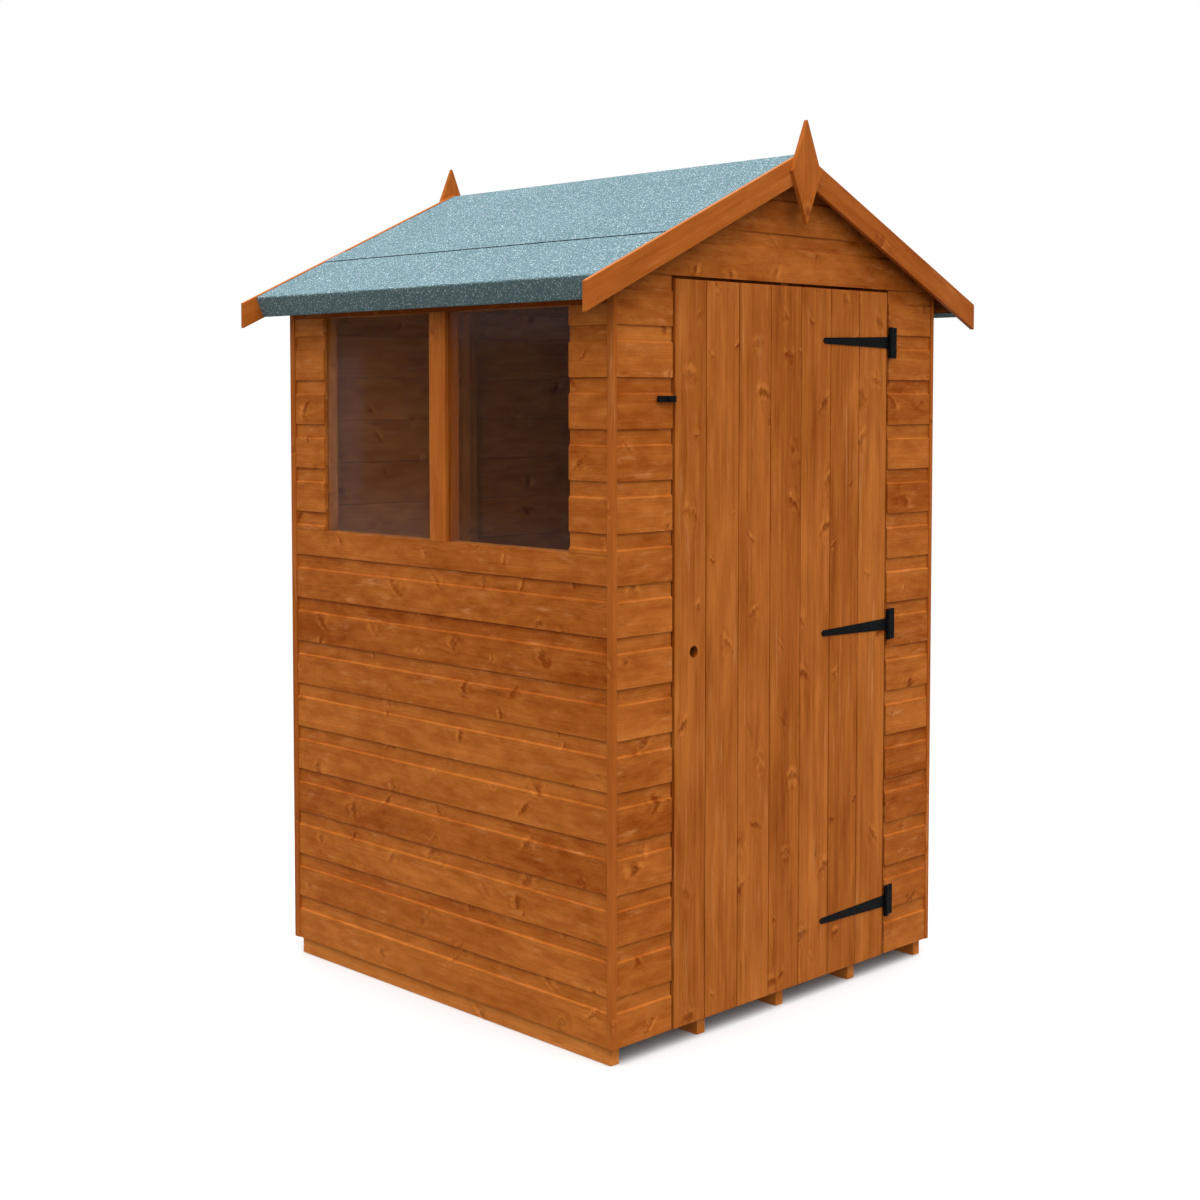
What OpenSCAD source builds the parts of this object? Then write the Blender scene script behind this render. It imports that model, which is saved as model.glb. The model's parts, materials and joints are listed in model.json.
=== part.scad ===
// Wooden garden shed with a shiplap body, a felted apex roof and one ledged and braced door.
// Millimetres. +Z is up, the door faces -Y, the window faces -X.
// The origin is on the ground at the middle of the plan.

/* [Plan] */
// Width across the corner trims
shed_w = 1220; // [1150:1:1400]
// Depth across the corner trims
shed_d = 1236; // [1160:1:1500]

/* [Floor] */
// Number of floor bearers
bearer_count = 5; // [3:1:7]
// Width of one bearer
bearer_w = 27; // [20:1:45]
// Height of one bearer
bearer_h = 44; // [30:1:60]
// Distance of the bearer ends behind the corner trims
bearer_setback = 20; // [16:1:60]
// Distance of the outer bearers inside the corner trims
bearer_inset = 13; // [5:1:60]
// Thickness of the floor boards
floor_t = 12; // [9:1:20]

/* [Cladding] */
// Thickness of a shiplap board
board_t = 12; // [9:0.5:18]
// Cover height of one shiplap board
board_cover = 117.2; // [100:0.1:130]
// Number of boards from the bottom to the door head
door_head_courses = 15; // [14:1:16]
// Height of the hollow at the top of a board
scoop_h = 39; // [20:1:50]
// Depth of the hollow at the top of a board
scoop_d = 4.5; // [2:0.5:6]
// Height of the slope that leads into the hollow
scoop_slope = 5; // [2:0.5:12]

/* [Corner trims] */
// Width of a trim on the side walls
trim_side_w = 20; // [18:0.5:40]
// Width of a trim on the front and back walls
trim_front_w = 12.5; // [8:0.5:14]
// Distance that a trim stands proud of the cladding
trim_proud = 3; // [1:0.5:5]

/* [Framing] */
// Depth of the framing into the room
frame_d = 34; // [25:1:45]
// Width of the framing on the wall
frame_w = 28; // [20:1:40]
// Height of the middle of the noggins
noggin_z = 930; // [700:1:1200]
// Distance from the door head up to the top of the side frames
eave_rise = 18.4; // [12:0.1:60]
// Length of a rafter's seat on the tie rail
rafter_seat = 14; // [8:1:30]

/* [Window] */
// Distance from the corner trims to the window opening
window_margin = 147.5; // [125:0.5:300]
// Height of the window opening
window_h = 565; // [400:1:700]
// Distance from the top plate down to the window's head rail
window_drop = 32.4; // [10:0.1:100]
// Width of the mullion
mullion_w = 61; // [40:1:90]
// Thickness of the glazing
pane_t = 3; // [2:0.5:6]

/* [Door] */
// Width of the opening in the front cladding
door_opening_w = 827; // [760:1:860]
// Gap on the lock side of the door
door_gap_lock = 6.5; // [5:0.5:10]
// Gap on the hinge side of the door
door_gap_hinge = 10.5; // [9.5:0.5:12]
// Gap over the door
door_gap_top = 6.6; // [5:0.1:12]
// Thickness of the door boards
door_t = 12; // [9:0.5:18]
// Distance of the door face in front of the cladding
door_proud = 1.5; // [1:0.5:6]
// Distance of the door's lower edge below the cladding
door_drop = 2; // [0:0.5:10]
// Cover width of one door board
door_board_w = 117; // [90:1:130]
// Depth of the vee joints between the door boards
vee_d = 2; // [1:0.5:3]
// Lap of the doorway studs behind the door opening
door_stop = 20; // [16:1:30]
// Width of a ledge
ledge_w = 70; // [50:1:110]
// Thickness of the ledges and braces
ledge_t = 18; // [10:1:22]
// Width of a brace
brace_w = 60; // [40:1:90]
// Diameter of the lock hole
lock_hole_d = 28; // [20:1:40]
// Distance of the lock hole from the lock edge
lock_hole_in = 65.4; // [50:0.1:90]
// Height of the lock hole
lock_hole_z = 927; // [700:1:1100]

/* [Hinges] */
// Distance of the lower hinge from the door's lower edge
hinge_low_in = 145.3; // [100:0.1:250]
// Distance of the upper hinge from the door's upper edge
hinge_top_in = 130.9; // [90:0.1:250]
// Thickness of the hinge plates and straps
iron_t = 2.5; // [2:0.25:4]
// Radius of the knuckles
knuckle_r = 6; // [5:0.25:8]
// Radius of the hinge pin
pin_r = 2.5; // [2:0.25:3]
// Radial running clearance on a pin
pin_play = 0.05; // [0.02:0.01:0.1]
// Height of a hinge plate
plate_h = 80; // [60:1:100]
// Width of a hinge plate from the pin
plate_w = 33; // [18:1:40]
// Length of a strap from the pin to its tip
strap_l = 277; // [200:1:320]
// Height of a strap at the knuckle
strap_h = 30; // [20:1:40]
// Height of a strap at the tip
strap_tip_h = 15; // [8:1:20]

/* [Turn button] */
// Length of the turn button on the short side of its screw
button_short = 25; // [20:1:26]
// Length of the turn button on the long side of its screw
button_long = 35; // [33:1:50]
// Width of the turn button
button_w = 14; // [12:1:24]
// Thickness of the turn button
button_t = 5; // [3:0.5:8]
// Distance of the screw from the door opening
button_in = 21; // [20:0.5:30]
// Height of the screw
button_z = 1518.6; // [1300:0.1:1600]

/* [Roof] */
// Slope of the roof in degrees
roof_pitch = 25; // [20:0.5:30]
// Reach of the roof boards beyond the side trims
eave_overhang = 83.3; // [70:0.1:160]
// Thickness of the roof boards
roof_board_t = 12; // [9:0.5:18]
// Overhang of the roof at each gable
gable_overhang = 31; // [20:1:80]
// Depth of the eave rails
eave_rail_d = 42; // [30:1:44]
// Thickness of the felt
felt_t = 2; // [1:0.25:4]
// Width of the eave felt that shows on the slope
eave_felt_w = 247; // [150:1:350]
// Lap of the ridge felt over the eave felt
felt_lap = 75; // [50:1:120]
// Distance from the ridge to the purlin
purlin_s = 380; // [300:1:450]

/* [Bargeboards and finials] */
// Thickness of the bargeboards and finials
barge_t = 12; // [9:0.5:20]
// Upright height of a bargeboard below the top of the felt
barge_h = 64; // [50:1:100]
// Height of a bargeboard over the top of the felt
barge_proud = 3; // [0:0.5:10]
// Reach of the bargeboard ends beyond the side trims
barge_reach = 126; // [110:1:200]
// Width of a finial
finial_w = 108; // [80:1:140]
// Height of a finial
finial_h = 252; // [180:1:320]
// Distance from the peak of the felt down to the middle of a finial
finial_drop = 47; // [30:1:70]

/* [Hidden] */
$fn = 48;

// Layers of a wall, measured out from the middle of the plan
clad_x = shed_w / 2 - trim_proud;
clad_y = shed_d / 2 - trim_proud;
frame_x = clad_x - board_t;
frame_y = clad_y - board_t;
room_x = frame_x - frame_d;
room_y = frame_y - frame_d;
panel_x = shed_w / 2 - trim_front_w;
panel_y = shed_d / 2 - trim_side_w;

// Levels
wall_z = bearer_h;
floor_z = bearer_h + floor_t;
door_head_z = wall_z + door_head_courses * board_cover;
stud_z = floor_z + frame_w;

// Roof planes, which rise from the outer edges of the side frames. Sloped faces lie seat_gap apart.
rise = tan(roof_pitch);
plate_top_z = door_head_z + eave_rise;
plate_z = plate_top_z - frame_w;
under_peak_z = plate_top_z + frame_x * rise;
seat_gap = 0.1;
ridge_z = under_peak_z + (seat_gap + roof_board_t) / cos(roof_pitch);
felt_peak_z = ridge_z + (seat_gap + felt_t) / cos(roof_pitch);
slope_l = (shed_w / 2 + eave_overhang) / cos(roof_pitch);
roof_y = shed_d / 2 + gable_overhang;
barge_y = roof_y + barge_t;
barge_half = shed_w / 2 + barge_reach;
function under_z(x) = under_peak_z - abs(x) * rise;

// Gable frames: a tie rail carries the rafters and the king post
rafter_drop = frame_w / cos(roof_pitch);
rafter_foot_x = frame_x - rafter_seat;
tie_top_z = under_z(rafter_foot_x) - rafter_drop;
tie_z = tie_top_z - frame_w;

// Window opening
window_w = shed_d - 2 * window_margin;
window_top_z = plate_z - window_drop - frame_w;
window_z = window_top_z - window_h;

// Length by which a cutting shape runs past what it cuts
overrun = 1;
wall_top_z = plate_top_z + overrun;

// Door, with its hinge pin in front of the gap on the hinge side
opening_x = door_opening_w / 2;
doorway_x = opening_x - door_stop;
door_lock_x = -opening_x + door_gap_lock;
door_hinge_x = opening_x - door_gap_hinge;
door_top_z = door_head_z - door_gap_top;
door_bottom_z = wall_z - door_drop;
door_face_y = -(clad_y + door_proud);
door_back_y = door_face_y + door_t;
ledge_back_y = door_back_y + ledge_t;
ledge_clear = 10;
ledge_x0 = -doorway_x + ledge_clear;
ledge_x1 = doorway_x - ledge_clear;
lock_x = door_lock_x + lock_hole_in;
lock_room = 32;
hinge_low_z = door_bottom_z + hinge_low_in;
hinge_top_z = door_top_z - hinge_top_in;
hinge_z = [hinge_low_z, (hinge_low_z + hinge_top_z) / 2, hinge_top_z];
knuckle_stand = 2;
knuckle_gap = 0.4;
knuckle_relief = 0.5;
pin_x = door_hinge_x + knuckle_stand + knuckle_r;
pin_y = -(clad_y + knuckle_relief + knuckle_r);

// Turn button, which stands just in front of the door
button_x = -opening_x - button_in;
button_clear = 2;
button_back_y = door_face_y - button_clear;
button_front_y = button_back_y - button_t;
screw_r = 2.5;
screw_head_r = 5.5;
screw_head_t = 2.5;
screw_play = 0.3;

// Board profile, as depth from the frame against height: a full face with a hollow above it
function course_points(z) = [
    [board_t, z],
    [board_t, z + board_cover - scoop_h],
    [board_t - scoop_d, z + board_cover - scoop_h + scoop_slope],
    [board_t - scoop_d, z + board_cover]
];

// A sheet of shiplap that runs along X, with its back on y = 0 and its face towards +Y
module shiplap(length, top_z) {
    courses = ceil((top_z - wall_z) / board_cover);
    profile = [for (k = [0 : courses - 1]) each course_points(wall_z + k * board_cover)];
    last_z = wall_z + courses * board_cover;
    translate([-length / 2, 0, 0])
        rotate([90, 0, 90])
            linear_extrude(length)
                polygon(concat([[0, last_z], [0, wall_z]], profile));
}

// A wall of shiplap on one side of the plan. turn is 0 for front, 90 for right, 180 for back, -90 for left.
module clad_wall(turn, frame_at, length, top_z) {
    rotate([0, 0, turn])
        translate([0, -frame_at, 0])
            mirror([0, 1, 0])
                shiplap(length, top_z);
}

// A box between two opposite corners
module block(low, high) {
    translate(low)
        cube(high - low);
}

// A flat outline in X and Z, drawn from y0 to y1
module upright(y0, y1) {
    translate([0, y1, 0])
        rotate([90, 0, 0])
            linear_extrude(y1 - y0)
                children();
}

// Everything under the roof boards, as far as the plan reaches
module under_roof() {
    half = shed_w;
    upright(-shed_d, shed_d)
        polygon([[-half, 0], [half, 0], [half, under_z(half)], [0, under_peak_z], [-half, under_z(half)]]);
}

// A pair of like pieces, one on each side of x = 0
module both_sides() {
    children();
    mirror([1, 0, 0])
        children();
}

// A pair of like pieces, one on each side of y = 0
module front_and_back() {
    children();
    mirror([0, 1, 0])
        children();
}

// A stud that stands on a wall that runs along Y, on the right of the plan
module side_stud(y, z0, z1) {
    block([room_x, y - frame_w / 2, z0], [frame_x, y + frame_w / 2, z1]);
}

// A rail that lies along a wall that runs along Y, on the right of the plan
module side_rail(y0, y1, z0) {
    block([room_x, y0, z0], [frame_x, y1, z0 + frame_w]);
}

// A stud that stands on a wall that runs along X, at the back of the plan
module end_stud(x, z0, z1) {
    block([x - frame_w / 2, room_y, z0], [x + frame_w / 2, frame_y, z1]);
}

// A rail that lies along a wall that runs along X, at the back of the plan
module end_rail(x0, x1, z0) {
    block([x0, room_y, z0], [x1, frame_y, z0 + frame_w]);
}

wood = [0.65, 0.35, 0.14];
rough_wood = [0.55, 0.33, 0.16];
felt_green = [0.47, 0.60, 0.62];
iron = [0.06, 0.06, 0.06];
glass = [0.75, 0.78, 0.82, 0.4];

// Floor
module floor_bearers() {
    first_x = bearer_inset - shed_w / 2;
    step = (-2 * first_x - bearer_w) / (bearer_count - 1);
    end_y = shed_d / 2 - bearer_setback;
    color(rough_wood)
        for (k = [0 : bearer_count - 1])
            translate([first_x + k * step, -end_y, 0])
                cube([bearer_w, 2 * end_y, bearer_h]);
}

module floor_boards() {
    color(rough_wood)
        block([-frame_x, -frame_y, bearer_h], [frame_x, frame_y, floor_z]);
}

// Cladding of the left wall, cut for the window
module left_wall(y0, y1, z0, z1) {
    color(wood)
        intersection() {
            clad_wall(-90, frame_x, 2 * panel_y, z1);
            block([-shed_w, y0, z0], [0, y1, z1]);
            under_roof();
        }
}

module left_wall_below_window() {
    left_wall(-panel_y, panel_y, wall_z, window_z);
}

module left_wall_front_strip() {
    left_wall(-panel_y, -window_w / 2, window_z, window_top_z);
}

module left_wall_back_strip() {
    left_wall(window_w / 2, panel_y, window_z, window_top_z);
}

module left_wall_over_window() {
    left_wall(-panel_y, panel_y, window_top_z, wall_top_z);
}

module right_wall_cladding() {
    color(wood)
        intersection() {
            clad_wall(90, frame_x, 2 * panel_y, wall_top_z);
            under_roof();
        }
}

module back_wall_cladding() {
    color(wood)
        intersection() {
            clad_wall(180, frame_y, 2 * panel_x, under_peak_z);
            under_roof();
        }
}

// Cladding of the front wall, split beside and over the doorway
module front_wall(x0, x1, z0, z1) {
    color(wood)
        intersection() {
            clad_wall(0, frame_y, 2 * panel_x, z1);
            block([x0, -shed_d, z0], [x1, 0, z1]);
            under_roof();
        }
}

module front_wall_left_strip() {
    front_wall(-panel_x, -opening_x, wall_z, door_head_z);
}

module front_wall_right_strip() {
    front_wall(opening_x, panel_x, wall_z, door_head_z);
}

module front_gable_cladding() {
    front_wall(-panel_x, panel_x, door_head_z, under_peak_z);
}

// Framing of the left wall, around the window
corner_y = room_y - frame_w / 2;
jamb_y = window_w / 2 + frame_w / 2;
sill_z = window_z - frame_w;

module left_wall_studs() {
    color(rough_wood)
        mirror([1, 0, 0]) {
            front_and_back() {
                side_stud(corner_y, stud_z, plate_z);
                side_stud(jamb_y, stud_z, plate_z);
            }
            side_stud(0, stud_z, sill_z);
        }
}

module left_wall_rails() {
    color(rough_wood)
        mirror([1, 0, 0]) {
            side_rail(-room_y, room_y, floor_z);
            side_rail(-window_w / 2, window_w / 2, sill_z);
            side_rail(-window_w / 2, window_w / 2, window_top_z);
            side_rail(-room_y, room_y, plate_z);
        }
}

// Framing of the right wall
module right_wall_studs() {
    color(rough_wood) {
        front_and_back()
            side_stud(corner_y, stud_z, plate_z);
        side_stud(0, stud_z, plate_z);
    }
}

module right_wall_rails() {
    color(rough_wood) {
        side_rail(-room_y, room_y, floor_z);
        side_rail(-room_y, room_y, plate_z);
        front_and_back()
            side_rail(frame_w / 2, room_y - frame_w, noggin_z - frame_w / 2);
    }
}

// Framing of the back wall
corner_x = frame_x - frame_w / 2;

module king_post() {
    intersection() {
        end_stud(0, tie_top_z, under_peak_z);
        under_roof();
    }
}

module back_wall_studs() {
    color(rough_wood) {
        both_sides()
            end_stud(corner_x, stud_z, tie_z);
        end_stud(0, stud_z, tie_z);
        king_post();
    }
}

module back_wall_rails() {
    color(rough_wood) {
        end_rail(-frame_x, frame_x, floor_z);
        end_rail(-frame_x, frame_x, tie_z);
        both_sides()
            end_rail(frame_w / 2, frame_x - frame_w, noggin_z - frame_w / 2);
    }
}

// Framing of the front wall, open at the doorway
module front_wall_studs() {
    color(rough_wood)
        mirror([0, 1, 0]) {
            both_sides() {
                end_stud(corner_x, stud_z, tie_z);
                end_stud(doorway_x + frame_w / 2, stud_z, tie_z);
            }
            king_post();
        }
}

module front_wall_rails() {
    color(rough_wood)
        mirror([0, 1, 0]) {
            both_sides()
                end_rail(doorway_x, frame_x, floor_z);
            end_rail(-frame_x, frame_x, tie_z);
        }
}

// Rafters of a gable frame, from the king post down to the ends of the tie rail
module gable_rafters() {
    head_x = frame_w / 2;
    both_sides()
        upright(room_y, frame_y)
            polygon([
                [head_x, under_z(head_x)],
                [frame_x, under_z(frame_x)],
                [frame_x, tie_top_z],
                [rafter_foot_x, tie_top_z],
                [head_x, under_z(head_x) - rafter_drop]
            ]);
}

module front_gable_rafters() {
    color(rough_wood)
        mirror([0, 1, 0])
            gable_rafters();
}

module back_gable_rafters() {
    color(rough_wood)
        gable_rafters();
}

// Upright strips on the corners
module corner_trims() {
    color(wood)
        intersection() {
            both_sides()
                front_and_back()
                    block([panel_x, panel_y, wall_z], [shed_w / 2, shed_d / 2, wall_top_z]);
            under_roof();
        }
}

// Window
module window_mullion() {
    color(wood)
        block([-clad_x, -mullion_w / 2, window_z], [-room_x, mullion_w / 2, window_top_z]);
}

module window_panes() {
    color(glass)
        front_and_back()
            block([-frame_x, mullion_w / 2, window_z], [-frame_x + pane_t, window_w / 2, window_top_z]);
}

// A point on the right roof slope: distance down the slope from the ridge, and height above the boards
function on_slope(s, n) = [
    s * cos(roof_pitch) + n * sin(roof_pitch),
    ridge_z - s * sin(roof_pitch) + n * cos(roof_pitch)
];

// Height at the ridge of a plane that lies n above the boards
function peak_z(n) = ridge_z + n / cos(roof_pitch);

// A strip of the right roof slope, square to the slope
module slope_strip(s0, s1, n0, n1, half_y) {
    upright(-half_y, half_y)
        polygon([on_slope(s0, n0), on_slope(s1, n0), on_slope(s1, n1), on_slope(s0, n1)]);
}

module roof_boards() {
    upright(-roof_y, roof_y)
        polygon([
            [0, ridge_z],
            on_slope(slope_l, 0),
            on_slope(slope_l, -roof_board_t),
            [0, peak_z(-roof_board_t)]
        ]);
}

module left_roof_boards() {
    color(wood)
        mirror([1, 0, 0])
            roof_boards();
}

module right_roof_boards() {
    color(wood)
        roof_boards();
}

// Eave rail, purlin and ridge rail under one slope
rail_top_n = -roof_board_t - seat_gap;
rail_under_n = rail_top_n - frame_d;
eave_under_n = rail_top_n - eave_rail_d;
ridge_rail_clear = 5;
ridge_rail_s = ridge_rail_clear - rail_under_n * rise;

module roof_battens() {
    slope_strip(slope_l - frame_w, slope_l, eave_under_n, rail_top_n, roof_y);
    slope_strip(purlin_s, purlin_s + frame_w, rail_under_n, rail_top_n, room_y);
    slope_strip(ridge_rail_s, ridge_rail_s + frame_w, rail_under_n, rail_top_n, room_y);
}

module left_roof_battens() {
    color(rough_wood)
        mirror([1, 0, 0])
            roof_battens();
}

module right_roof_battens() {
    color(rough_wood)
        roof_battens();
}

// Felt of one eave: down the slope, over the edge and back under the eave rail
lap_s = slope_l - eave_felt_w;
felt_head_s = lap_s - felt_lap;

felt_top_n = seat_gap + felt_t;

module eave_felt() {
    fold_s = slope_l + seat_gap;
    hem_s = slope_l - frame_w;
    hem_n = eave_under_n - seat_gap;
    upright(-roof_y, roof_y)
        polygon([
            on_slope(felt_head_s, seat_gap),
            on_slope(fold_s, seat_gap),
            on_slope(fold_s, hem_n),
            on_slope(hem_s, hem_n),
            on_slope(hem_s, hem_n - felt_t),
            on_slope(fold_s + felt_t, hem_n - felt_t),
            on_slope(fold_s + felt_t, felt_top_n),
            on_slope(felt_head_s, felt_top_n)
        ]);
}

module left_roof_felt() {
    color(felt_green)
        mirror([1, 0, 0])
            eave_felt();
}

module right_roof_felt() {
    color(felt_green)
        eave_felt();
}

// Felt over the ridge, which steps up over the eave felts
module ridge_felt() {
    step_s = felt_head_s - seat_gap;
    lap_n = felt_top_n + seat_gap;
    half = [
        [0, felt_peak_z],
        on_slope(step_s - felt_t, felt_top_n),
        on_slope(step_s, lap_n + felt_t),
        on_slope(lap_s, lap_n + felt_t),
        on_slope(lap_s, lap_n),
        on_slope(step_s, lap_n),
        on_slope(step_s, seat_gap),
        [0, peak_z(seat_gap)]
    ];
    other_half = [for (k = [len(half) - 2 : -1 : 1]) [-half[k][0], half[k][1]]];
    color(felt_green)
        upright(-roof_y, roof_y)
            polygon(concat(half, other_half));
}

// Bargeboards, cut plumb at the peak and at the eaves
module bargeboard() {
    fall = barge_half * rise;
    top_z = felt_peak_z + barge_proud;
    bottom_z = felt_peak_z - barge_h;
    color(wood)
        upright(roof_y, barge_y)
            polygon([
                [0, top_z],
                [barge_half, top_z - fall],
                [barge_half, bottom_z - fall],
                [0, bottom_z]
            ]);
}

module front_left_bargeboard() {
    rotate([0, 0, 180])
        bargeboard();
}

module front_right_bargeboard() {
    mirror([0, 1, 0])
        bargeboard();
}

module back_left_bargeboard() {
    mirror([1, 0, 0])
        bargeboard();
}

module back_right_bargeboard() {
    bargeboard();
}

// Diamond finials on the peaks of the bargeboards
module finial() {
    color(wood)
        translate([0, 0, felt_peak_z - finial_drop])
            upright(barge_y, barge_y + barge_t)
                polygon([[0, finial_h / 2], [finial_w / 2, 0], [0, -finial_h / 2], [-finial_w / 2, 0]]);
}

module front_finial() {
    mirror([0, 1, 0])
        finial();
}

module back_finial() {
    finial();
}

// Door boards, counted from the hinge side, with vee joints on the face
module door_boards() {
    joints = [for (x = [door_hinge_x - door_board_w : -door_board_w : door_lock_x + vee_d]) x];
    color(wood)
        difference() {
            block([door_lock_x, door_face_y, door_bottom_z], [door_hinge_x, door_back_y, door_top_z]);
            for (x = joints)
                translate([x, door_face_y, 0])
                    linear_extrude(door_top_z + overrun)
                        polygon([[-vee_d, -overrun], [vee_d, -overrun], [vee_d, 0], [0, vee_d], [-vee_d, 0]]);
            translate([lock_x, door_face_y - overrun, lock_hole_z])
                rotate([-90, 0, 0])
                    cylinder(h = door_t + 2 * overrun, d = lock_hole_d);
        }
}

// Ledges behind the hinges. The middle one stops short of the lock.
module door_ledges() {
    color(rough_wood)
        for (k = [0 : len(hinge_z) - 1]) {
            x0 = k == 1 ? lock_x + lock_room : ledge_x0;
            block(
                [x0, door_back_y, hinge_z[k] - ledge_w / 2],
                [ledge_x1, ledge_back_y, hinge_z[k] + ledge_w / 2]
            );
        }
}

// Braces that rise from the hinge side of one ledge to the lock side of the next
module door_braces() {
    brace_x0 = lock_x + lock_room;
    color(rough_wood)
        for (k = [0 : len(hinge_z) - 2]) {
            z0 = hinge_z[k] + ledge_w / 2;
            z1 = hinge_z[k + 1] - ledge_w / 2;
            upright(door_back_y, ledge_back_y)
                polygon([
                    [ledge_x1 - brace_w, z0],
                    [ledge_x1, z0],
                    [brace_x0 + brace_w, z1],
                    [brace_x0, z1]
                ]);
        }
}

// T-hinges
middle_h = strap_h;

module knuckle(z0, z1) {
    translate([pin_x, pin_y, z0])
        cylinder(h = z1 - z0, r = knuckle_r);
}

module hinge_plate() {
    plate_back_y = -clad_y;
    color(iron)
        union() {
            difference() {
                union() {
                    block(
                        [pin_x, plate_back_y - iron_t, -plate_h / 2],
                        [pin_x + plate_w, plate_back_y, plate_h / 2]
                    );
                    knuckle(-plate_h / 2, plate_h / 2);
                }
                translate([pin_x, pin_y, -middle_h / 2 - knuckle_gap])
                    cylinder(h = middle_h + 2 * knuckle_gap, r = knuckle_r + knuckle_relief);
            }
            translate([pin_x, pin_y, -plate_h / 2])
                cylinder(h = plate_h, r = pin_r);
        }
}

module hinge_plates() {
    for (z = hinge_z)
        translate([0, 0, z])
            hinge_plate();
}

module hinge_strap() {
    tip_x = pin_x - strap_l;
    point_l = strap_tip_h / 2;
    color(iron)
        difference() {
            union() {
                upright(door_face_y - iron_t, door_face_y)
                    polygon([
                        [pin_x, strap_h / 2],
                        [tip_x + point_l, strap_tip_h / 2],
                        [tip_x, 0],
                        [tip_x + point_l, -strap_tip_h / 2],
                        [pin_x, -strap_h / 2]
                    ]);
                knuckle(-middle_h / 2, middle_h / 2);
            }
            translate([pin_x, pin_y, -middle_h])
                cylinder(h = 2 * middle_h, r = pin_r + pin_play);
        }
}

module hinge_straps() {
    for (z = hinge_z)
        translate([0, 0, z])
            hinge_strap();
}

// Turn button on its screw, at rest with its long side away from the door
module along_screw(y0, y1, r) {
    translate([button_x, y1, button_z])
        rotate([90, 0, 0])
            cylinder(h = y1 - y0, r = r);
}

module turn_button_screw() {
    color(iron)
        union() {
            along_screw(button_back_y + screw_play, -clad_y, screw_head_r);
            along_screw(button_front_y - screw_play, -clad_y, screw_r);
            along_screw(button_front_y - screw_play - screw_head_t, button_front_y - screw_play, screw_head_r);
        }
}

module turn_button() {
    color(iron)
        difference() {
            block(
                [button_x - button_long, button_front_y, button_z - button_w / 2],
                [button_x + button_short, button_back_y, button_z + button_w / 2]
            );
            along_screw(button_front_y - overrun, button_back_y + overrun, screw_r + pin_play);
        }
}

floor_bearers();
floor_boards();
left_wall_below_window();
left_wall_front_strip();
left_wall_back_strip();
left_wall_over_window();
right_wall_cladding();
back_wall_cladding();
front_wall_left_strip();
front_wall_right_strip();
front_gable_cladding();
left_wall_studs();
left_wall_rails();
right_wall_studs();
right_wall_rails();
back_wall_studs();
back_wall_rails();
front_wall_studs();
front_wall_rails();
front_gable_rafters();
back_gable_rafters();
corner_trims();
window_mullion();
window_panes();
left_roof_boards();
right_roof_boards();
left_roof_battens();
right_roof_battens();
left_roof_felt();
right_roof_felt();
ridge_felt();
front_left_bargeboard();
front_right_bargeboard();
back_left_bargeboard();
back_right_bargeboard();
front_finial();
back_finial();
hinge_plates();
turn_button_screw();
door_boards();
door_ledges();
door_braces();
hinge_straps();
turn_button();
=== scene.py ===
"""Looks of a small wooden garden shed: every board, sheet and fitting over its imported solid.

Units are metres. The door faces -Y, the window faces -X and the ground is z = 0.
"""

import json
import math
import random

import bmesh
import bpy
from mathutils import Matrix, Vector, noise


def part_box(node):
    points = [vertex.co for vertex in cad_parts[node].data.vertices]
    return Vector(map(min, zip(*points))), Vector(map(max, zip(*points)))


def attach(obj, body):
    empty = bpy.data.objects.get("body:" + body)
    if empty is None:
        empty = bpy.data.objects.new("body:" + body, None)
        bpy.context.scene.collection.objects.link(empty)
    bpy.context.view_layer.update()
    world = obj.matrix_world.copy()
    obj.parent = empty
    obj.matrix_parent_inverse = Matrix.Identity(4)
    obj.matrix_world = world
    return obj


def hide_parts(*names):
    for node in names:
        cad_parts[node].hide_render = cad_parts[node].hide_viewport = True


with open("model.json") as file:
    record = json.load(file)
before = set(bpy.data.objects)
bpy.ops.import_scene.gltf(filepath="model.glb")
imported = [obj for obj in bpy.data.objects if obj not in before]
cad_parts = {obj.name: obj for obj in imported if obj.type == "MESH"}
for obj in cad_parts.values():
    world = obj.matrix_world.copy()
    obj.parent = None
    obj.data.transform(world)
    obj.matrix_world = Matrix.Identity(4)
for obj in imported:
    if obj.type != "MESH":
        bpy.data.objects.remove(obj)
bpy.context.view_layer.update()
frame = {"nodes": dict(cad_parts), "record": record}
RECORD = frame["record"]
SLOT_OF = {part["node"]: part["material_slot"] for part in RECORD["subparts"]}
BODY_OF = {node: body for body, nodes in RECORD["behaviour"]["bodies"].items() for node in nodes}

X = Vector((1, 0, 0))
Y = Vector((0, 1, 0))
Z = Vector((0, 0, 1))

# Camera, fitted to the photo
LENS_MM = 54.012
SHIFT_Y = -0.09
CAMERA_AT = Vector((-3.44147, -3.44711, 1.52222))
CAMERA_YAW = math.radians(44.6022)
CAMERA_DOWN = math.radians(3.0095)

# Shared edges of planed and sawn timber
END_ARRIS = 0.0004
TIMBER_ARRIS = 0.0012
TRIM_ARRIS = 0.001
WELD = 1e-6
FLAT_ANGLE = math.radians(1)
SHARP_ANGLE = math.radians(32)
CURVE_STEPS = 3
SHARPEST_MITRE = 0.5

# Shiplap boards: a full face, a scoop above it and a tongue behind the next board
WALL_COURSES = 15
SCOOP_H = 0.039
SCOOP_D = 0.0045
SCOOP_RISE = 0.004
SCOOP_EASE = 0.0005
BOARD_T = 0.012
LIP_T = 0.006
TONGUE_H = 0.0075
JOINT_PLAY = 0.0005
FACE_ARRIS = 0.0012
INNER_VEE = 0.003

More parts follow.
